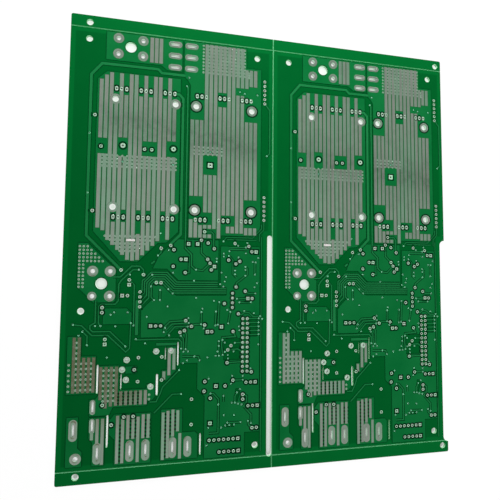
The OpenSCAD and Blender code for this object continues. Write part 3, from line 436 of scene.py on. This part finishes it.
# profiles run from a land's rim (0) to its hole (1), with the height in millimetres
landForm = {
    "crown": [
        (0, 1.44), (0, 1.51), (0.07, 1.55), (0.2, 1.585),
        (0.4, 1.6), (0.66, 1.6), (0.86, 1.575), (1, 1.52)],
    "back": [(1, 0.03), (0.8, 0), (0.15, 0), (0, 0.04), (0, 0.06)],
    "barrel": (0.06, 1.44),
    "ring": [(0, 1.54), (0.06, 1.57), (0.3, 1.6), (0.7, 1.6), (0.94, 1.57), (1, 1.54)],
    "ringAbove": 1 * mm,  # a flat ring starts above this, a land goes right through
    "plating": 0.15 * mm,
    "fineSegments": 20,
    "segments": 28,
    "wideSegments": 52,
    "fine": 0.7 * mm,
    "wide": 1.3 * mm,
    "sharp": 40,
}


def extent(points):
    low = Vector([min(p[i] for p in points) for i in range(3)])
    high = Vector([max(p[i] for p in points) for i in range(3)])
    return low, high


def islands(name, weld=0.001 * mm):
    # the separate solids of a CAD node, each as its points
    work = bmesh.new()
    work.from_mesh(nodes[name].data)
    bmesh.ops.remove_doubles(work, verts=work.verts, dist=weld)
    left = set(work.verts)
    found = []
    while left:
        group = [left.pop()]
        for vert in group:
            for edge in vert.link_edges:
                other = edge.other_vert(vert)
                if other in left:
                    left.remove(other)
                    group.append(other)
        found.append([vert.co.copy() for vert in group])
    work.free()
    return sorted(found, key=lambda points: extent(points)[0][:])


def outline(halfX, halfY, square, count):
    # a circle, a slot with round ends or a square, as points round the middle
    radius = min(halfX, halfY)
    points = []
    for i in range(count):
        turn = 2 * math.pi * (i + 0.5) / count
        x, y = math.cos(turn), math.sin(turn)
        reach = radius / max(abs(x), abs(y)) if square else radius
        points.append(Vector((
            x * reach + math.copysign(halfX - radius, x),
            y * reach + math.copysign(halfY - radius, y))))
    return points


def addRing(verts, faces, middle, outer, inner, profile):
    # a closed band round the hole, following the profile
    first = len(verts)
    count = len(outer)
    for share, height in profile:
        for rim, hole in zip(outer, inner):
            place = middle + rim.lerp(hole, share)
            verts.append((place.x, place.y, height))
    rows = len(profile)
    for row in range(rows):
        for i in range(count):
            nextRow, j = (row + 1) % rows, (i + 1) % count
            faces.append([
                first + row * count + i, first + row * count + j,
                first + nextRow * count + j, first + nextRow * count + i])


def makePiece(name, verts, faces, finish, sharp):
    mesh = bpy.data.meshes.new(name)
    mesh.from_pydata(verts, [], faces)
    work = bmesh.new()
    work.from_mesh(mesh)
    bmesh.ops.recalc_face_normals(work, faces=work.faces)
    work.to_mesh(mesh)
    work.free()
    mesh.polygons.foreach_set("use_smooth", [True] * len(mesh.polygons))
    mesh.set_sharp_from_angle(angle=math.radians(sharp))
    mesh.materials.append(finishes[finish])
    piece = bpy.data.objects.new(name, mesh)
    bpy.context.scene.collection.objects.link(piece)
    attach(piece, "root")
    return piece


def landShape(points, cornerShare=0.98):
    # the middle, half sizes and underside of a land, and whether it is square
    low, high = extent(points)
    middle = ((low + high) / 2).to_2d()
    halfX, halfY = ((high - low) / 2).to_2d()
    square = any(
        abs(p.x - middle.x) > cornerShare * halfX and abs(p.y - middle.y) > cornerShare * halfY
        for p in points)
    return middle, halfX, halfY, low.z, square


def makeLands(node, opening, finish, form):
    verts, faces = [], []
    holeX, holeY = opening[0] * mm / 2, opening[1] * mm / 2
    for points in islands(node):
        middle, halfX, halfY, underside, square = landShape(points)
        size = min(halfX, halfY)
        count = form["segments"]
        if size < form["fine"]:
            count = form["fineSegments"]
        elif size > form["wide"]:
            count = form["wideSegments"]
        if underside > form["ringAbove"]:
            profile = form["ring"]
        else:
            # the barrel's outer wall, in the laminate
            share = 1 - form["plating"] / (size - min(holeX, holeY))
            barrel = [(share, height) for height in form["barrel"]]
            profile = form["crown"] + form["back"] + barrel
        addRing(
            verts, faces, middle,
            outline(halfX, halfY, square, count), outline(holeX, holeY, False, count),
            [(share, height * mm) for share, height in profile])
    piece = makePiece("solder_" + node, verts, faces, finish, form["sharp"])
    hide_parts(node)


for side in ("left", "right"):
    for finish, openings in landKinds.items():
        for kind, opening in openings.items():
            makeLands(side + "_" + kind, opening, finish, landForm)
print("lands made")


# Painted shade: a dark band on the copper round the rim of each clearance that the copper leaves
# round a land

shadeRimForm = {
    "lands": ("heatsink_pads", "transistor_pads", "header_pads", "lead_pads"),
    "copper": ("copper_pours", "ground_pour", "tracks"),
    "copperAbove": 1.5 * mm,
    "lookFrom": 2 * mm,
    "search": 1.1 * mm,
    "steps": 22,
    "firstStep": 4,
    "lap": 0.05 * mm,
    "width": 0.3 * mm,
    # up the inner side, over and down the outer side
    "heights": (1.5 * mm, 1.548 * mm, 1.542 * mm, 1.5 * mm),
    "count": 28,
    "sharp": 40,
}


def copperTree(side, form):
    # all the front copper of a board, to look straight down on
    verts, faces = [], []
    for kind in form["copper"]:
        mesh = nodes[side + "_" + kind].data
        first = len(verts)
        verts += [v.co.copy() for v in mesh.vertices]
        faces += [[first + i for i in face.vertices] for face in mesh.polygons]
    return BVHTree.FromPolygons(verts, faces)


def rimShares(tree, middle, land, around, form):
    # how far out the copper starts in each direction, as a share of the search, or None
    found = []
    for edge, far in zip(land, around):
        start = None
        for step in range(form["firstStep"], form["steps"]):
            share = step / form["steps"]
            place = middle + edge.lerp(far, share)
            above = Vector((place.x, place.y, form["lookFrom"]))
            hit = tree.ray_cast(above, Vector((0, 0, -1)))[0]
            if hit and hit.z > form["copperAbove"]:
                # copper that already touches the land has no clearance
                start = share if step > form["firstStep"] else None
                break
        found.append(start)
    return found


def makeShadeRims(side, form):
    tree = copperTree(side, form)
    verts, faces = [], []
    search, count = form["search"], form["count"]
    lap, width = form["lap"] / search, form["width"] / search
    for kind in form["lands"]:
        for points in islands(side + "_" + kind):
            middle, halfX, halfY, _, square = landShape(points)
            land = outline(halfX, halfY, square, count)
            around = outline(halfX + search, halfY + search, square, count)
            starts = rimShares(tree, middle, land, around, form)
            rows = {}
            for i, start in enumerate(starts):
                beside = (starts[i - 1], starts[(i + 1) % count])
                if start is None or beside == (None, None):
                    continue
                rows[i] = len(verts)
                shares = (start - lap, start - lap, start + width, start + width)
                for share, height in zip(shares, form["heights"]):
                    place = middle + land[i].lerp(around[i], share)
                    verts.append((place.x, place.y, height))
            # each row joins the next one, and the ends of a broken band are closed
            for i, a in rows.items():
                after, before = (i + 1) % count, (i - 1) % count
                if after in rows:
                    b = rows[after]
                    faces += [[a + k, b + k, b + (k + 1) % 4, a + (k + 1) % 4] for k in range(4)]
                if (after in rows) != (before in rows):
                    faces.append([a, a + 1, a + 2, a + 3])
    makePiece(side + "_painted_shade_rims", verts, faces, "rim", form["sharp"])


for side in ("left", "right"):
    makeShadeRims(side, shadeRimForm)
print("painted shade rims made")


# The solder bar: a thick bead over the low strip across two stripes, its near-white tin a
# painted highlight

beadForm = {
    "base": 1.54 * mm,
    "top": 1.6 * mm,
    "stripTop": (1.56 * mm, 1.58 * mm),
    "overlap": 0.2 * mm,
    "along": 28,
    "across": 12,
    "endPower": 8,
    "sidePower": 2.4,
    "sharp": 60,
}


def makeBead(node, form):
    # the strip is the only tin that stands between the two heights
    lowest, highest = form["stripTop"]
    low, high = extent([v.co for v in nodes[node].data.vertices if lowest < v.co.z < highest])
    middle = (low + high) / 2
    halfX = (high.x - low.x) / 2 + form["overlap"]
    halfY = (high.y - low.y) / 2 + form["overlap"]
    verts, faces = [], []
    columns = form["across"] + 1
    for i in range(form["along"] + 1):
        # points crowd towards the ends, where the bead turns down
        u = math.sin(math.pi * (i / form["along"] - 0.5))
        for j in range(columns):
            v = math.sin(math.pi * (j / form["across"] - 0.5))
            rise = (1 - abs(u) ** form["endPower"]) * (1 - abs(v) ** form["sidePower"])
            height = form["base"] + rise * (form["top"] - form["base"])
            verts.append((middle.x + u * halfX, middle.y + v * halfY, height))
    for i in range(form["along"]):
        for j in range(form["across"]):
            a = i * columns + j
            faces.append([a, a + columns, a + columns + 1, a + 1])
    # the flat underside closes it
    rim = list(range(columns))
    rim += [i * columns + columns - 1 for i in range(1, form["along"] + 1)]
    rim += [form["along"] * columns + j for j in reversed(range(columns - 1))]
    rim += [i * columns for i in reversed(range(1, form["along"]))]
    faces.append(rim)
    name = node.split("_")[0] + "_solder_bead"
    makePiece(name, verts, faces, "bead", form["sharp"])


for side in ("left", "right"):
    makeBead(side + "_input_stripes", beadForm)
print("solder beads made")


# Floor, world and lamps

# openness is what the floor sees past the panel: about 0.1 under the finest holes, 0.3 under
# the slots, 0.5 under the large holes and over 0.7 under the locating ones
floorLook = {
    "size": 6.0,
    "drop": 0.02 * mm,
    "colour": (0.88, 0.88, 0.88),
    "shine": 0.95,
    "reach": 4 * mm,
    "narrow": (0.17, 0.30),  # openness of holes that are dark and of slots that are bright
    "under": (0.08, 0.95),  # how bright they are
    "large": (0.35, 0.45),  # openness from which a hole counts as large
    "widest": (0.6, 0.68),  # and from which it counts for only a share of that
    "widestShare": 0.5,
    "dimPlace": (-0.119, 0.06),  # from the bottom edge upwards, in metres
    "dim": (0.34, 0.9),
    "paintedHoleTint": (0.87, 1.0, 0.88),
    "inset": 2 * mm,
    "openSlot": (105.3 * mm, -113.2 * mm, 7 * mm),  # its left, bottom and top
}


def besidePanel(tree, x, y, look):
    # 1 on the floor round the panel and in the last slot, which is open to the right
    halfX, halfY = cadBox[1].x - look["inset"], cadBox[1].y - look["inset"]
    beside = calc(
        tree, "MAXIMUM",
        calc(tree, "GREATER_THAN", calc(tree, "ABSOLUTE", x), halfX),
        calc(tree, "GREATER_THAN", calc(tree, "ABSOLUTE", y), halfY))
    left, bottom, top = look["openSlot"]
    within = calc(
        tree, "MULTIPLY",
        calc(tree, "GREATER_THAN", y, bottom), calc(tree, "LESS_THAN", y, top))
    within = calc(tree, "MULTIPLY", within, calc(tree, "GREATER_THAN", x, left))
    return calc(tree, "MAXIMUM", beside, within)


def makeFloor(look):
    mesh = bpy.data.meshes.new("floor")
    half = look["size"] / 2
    corners = [(-half, -half, 0), (half, -half, 0), (half, half, 0), (-half, half, 0)]
    mesh.from_pydata(corners, [], [(0, 1, 2, 3)])
    floor = bpy.data.objects.new("floor", mesh)
    bpy.context.scene.collection.objects.link(floor)
    floor.location.z = cadBox[0][2] - look["drop"]
    material, tree, shader = newMaterial("paleFloor")
    tree.nodes.remove(shader)
    cloth = addNode(tree, "ShaderNodeBsdfDiffuse")
    cloth.inputs["Color"].default_value = (*look["colour"], 1)
    glow = addNode(tree, "ShaderNodeEmission")
    rays = addNode(tree, "ShaderNodeLightPath").outputs
    seen = calc(tree, "MAXIMUM", rays["Is Camera Ray"], rays["Is Glossy Ray"])
    seen = calc(tree, "MAXIMUM", seen, rays["Is Transmission Ray"])
    # painted shade: under the panel the floor's glow is painted dark by how little it sees past
    # the panel, so it shows dark through the finest holes, bright through slots, and duller
    # through the large holes towards the bottom edge, where it also takes a painted green tint
    x, y = xyz(tree, placeOnPanel(tree))[:2]
    beside = besidePanel(tree, x, y, look)
    openness = shelter(tree, look["reach"])
    lit = remap(tree, openness, *look["narrow"], *look["under"])
    seen = calc(tree, "MULTIPLY", seen, calc(tree, "MAXIMUM", beside, lit))
    large = remap(tree, openness, *look["large"], 0, 1)
    widest = remap(tree, openness, *look["widest"], 1, look["widestShare"])
    large = calc(tree, "MULTIPLY", large, widest)
    large = calc(tree, "MULTIPLY", large, calc(tree, "SUBTRACT", 1, beside))
    paintedDimming = calc(tree, "SUBTRACT", 1, remap(tree, y, *look["dimPlace"], *look["dim"]))
    strength = calc(tree, "SUBTRACT", 1, calc(tree, "MULTIPLY", large, paintedDimming))
    tree.links.new(strength, glow.inputs["Strength"])
    tree.links.new(blendColour(tree, large, (1, 1, 1), look["paintedHoleTint"]), glow.inputs["Color"])
    mix = addNode(tree, "ShaderNodeMixShader")
    tree.links.new(calc(tree, "MULTIPLY", seen, look["shine"]), mix.inputs[0])
    tree.links.new(cloth.outputs[0], mix.inputs[1])
    tree.links.new(glow.outputs[0], mix.inputs[2])
    tree.links.new(mix.outputs[0], tree.nodes["Material Output"].inputs[0])
    mesh.materials.append(material)


skyLook = {
    "horizon": 1.0,
    "lowest": 0.05,
    "rise": (0.3, 0.6),  # from here up to here the horizon gives way to the ceiling
    "ceiling": 0.37,
    "far": 0.33,
    "farPlace": (0.2, 0.5),
    "bar": 0.6,
    "barPlace": 0.345,
    "barSlope": 0.115,
    "barWidth": 0.028,
    "barCore": 0.3,
    "warm": (0.46, 0.36, 0.25),
    "warmPlace": (-0.13, -0.2),
    "warmRadius": 0.14,
    "warmCore": 0.7,
    "warmAbove": 0.5,
}


def makeSky(look):
    # bright all round the horizon, dimmer overhead, with a ceiling bar and a warm patch
    world = bpy.data.worlds.new("studio")
    bpy.context.scene.world = world
    world.use_nodes = True
    tree = world.node_tree
    x, y, z = xyz(tree, addNode(tree, "ShaderNodeTexCoord").outputs["Generated"])
    up = calc(tree, "MAXIMUM", z, look["lowest"])
    across = calc(tree, "DIVIDE", x, up)
    along = calc(tree, "DIVIDE", y, up)
    # the ceiling is dimmer over the right board's mirror directions
    ceiling = remap(tree, across, *look["farPlace"], look["ceiling"], look["far"])
    level = remap(tree, z, *look["rise"], look["horizon"], ceiling)
    slanted = calc(tree, "ADD", along, calc(tree, "MULTIPLY", across, look["barSlope"]))
    offBar = calc(tree, "ABSOLUTE", calc(tree, "SUBTRACT", slanted, look["barPlace"]))
    width = look["barWidth"]
    bar = remap(tree, offBar, width * look["barCore"], width, look["bar"], 0)
    level = calc(tree, "MULTIPLY", level, calc(tree, "SUBTRACT", 1, bar))
    dx = calc(tree, "SUBTRACT", across, look["warmPlace"][0])
    dy = calc(tree, "SUBTRACT", along, look["warmPlace"][1])
    squares = calc(tree, "MULTIPLY", dx, dx), calc(tree, "MULTIPLY", dy, dy)
    away = calc(tree, "SQRT", calc(tree, "ADD", *squares))
    radius = look["warmRadius"]
    warm = remap(tree, away, radius * look["warmCore"], radius, 1, 0)
    warm = calc(tree, "MULTIPLY", warm, calc(tree, "GREATER_THAN", z, look["warmAbove"]))
    colour = blendColour(tree, warm, (1, 1, 1), look["warm"])
    backdrop = tree.nodes["Background"]
    tree.links.new(colour, backdrop.inputs["Color"])
    tree.links.new(level, backdrop.inputs["Strength"])


lampLook = {
    "window": {"at": (-0.02, 0.30, 0.22), "aim": (0, 0.05, 0), "size": 0.16, "power": 1.75},
    "corner": {"at": (0.42, -0.25, 0.30), "aim": (0.05, -0.05, 0), "size": 0.2, "power": 2.2},
}


def makeLamp(name, look):
    lamp = bpy.data.lights.new(name, "AREA")
    lamp.shape = "SQUARE"
    lamp.size = look["size"]
    lamp.energy = look["power"]
    holder = bpy.data.objects.new(name, lamp)
    bpy.context.scene.collection.objects.link(holder)
    holder.location = look["at"]
    # the metal mirrors the room, not the lamps
    holder.visible_glossy = False
    aim = Vector(look["aim"]) - holder.location
    holder.rotation_euler = aim.to_track_quat("-Z", "Y").to_euler()


cameraLook = {
    "at": (-62.4 * mm, -17.3 * mm, 227.4 * mm),
    "turn": (3.62, -12.43, 0.47),
    "lens": 30.43,
    "sensor": 36,
    "near": 0.01,
}


def makeCamera(look):
    data = bpy.data.cameras.new("camera")
    data.sensor_width = look["sensor"]
    data.lens = look["lens"]
    data.clip_start = look["near"]
    camera = bpy.data.objects.new("camera", data)
    bpy.context.scene.collection.objects.link(camera)
    camera.location = look["at"]
    camera.rotation_euler = Euler([math.radians(a) for a in look["turn"]])
    bpy.context.scene.camera = camera


makeFloor(floorLook)
makeSky(skyLook)
for name, look in lampLook.items():
    makeLamp(name, look)
makeCamera(cameraLook)
bpy.context.scene.view_settings.view_transform = "Standard"
print("floor, light and camera made")
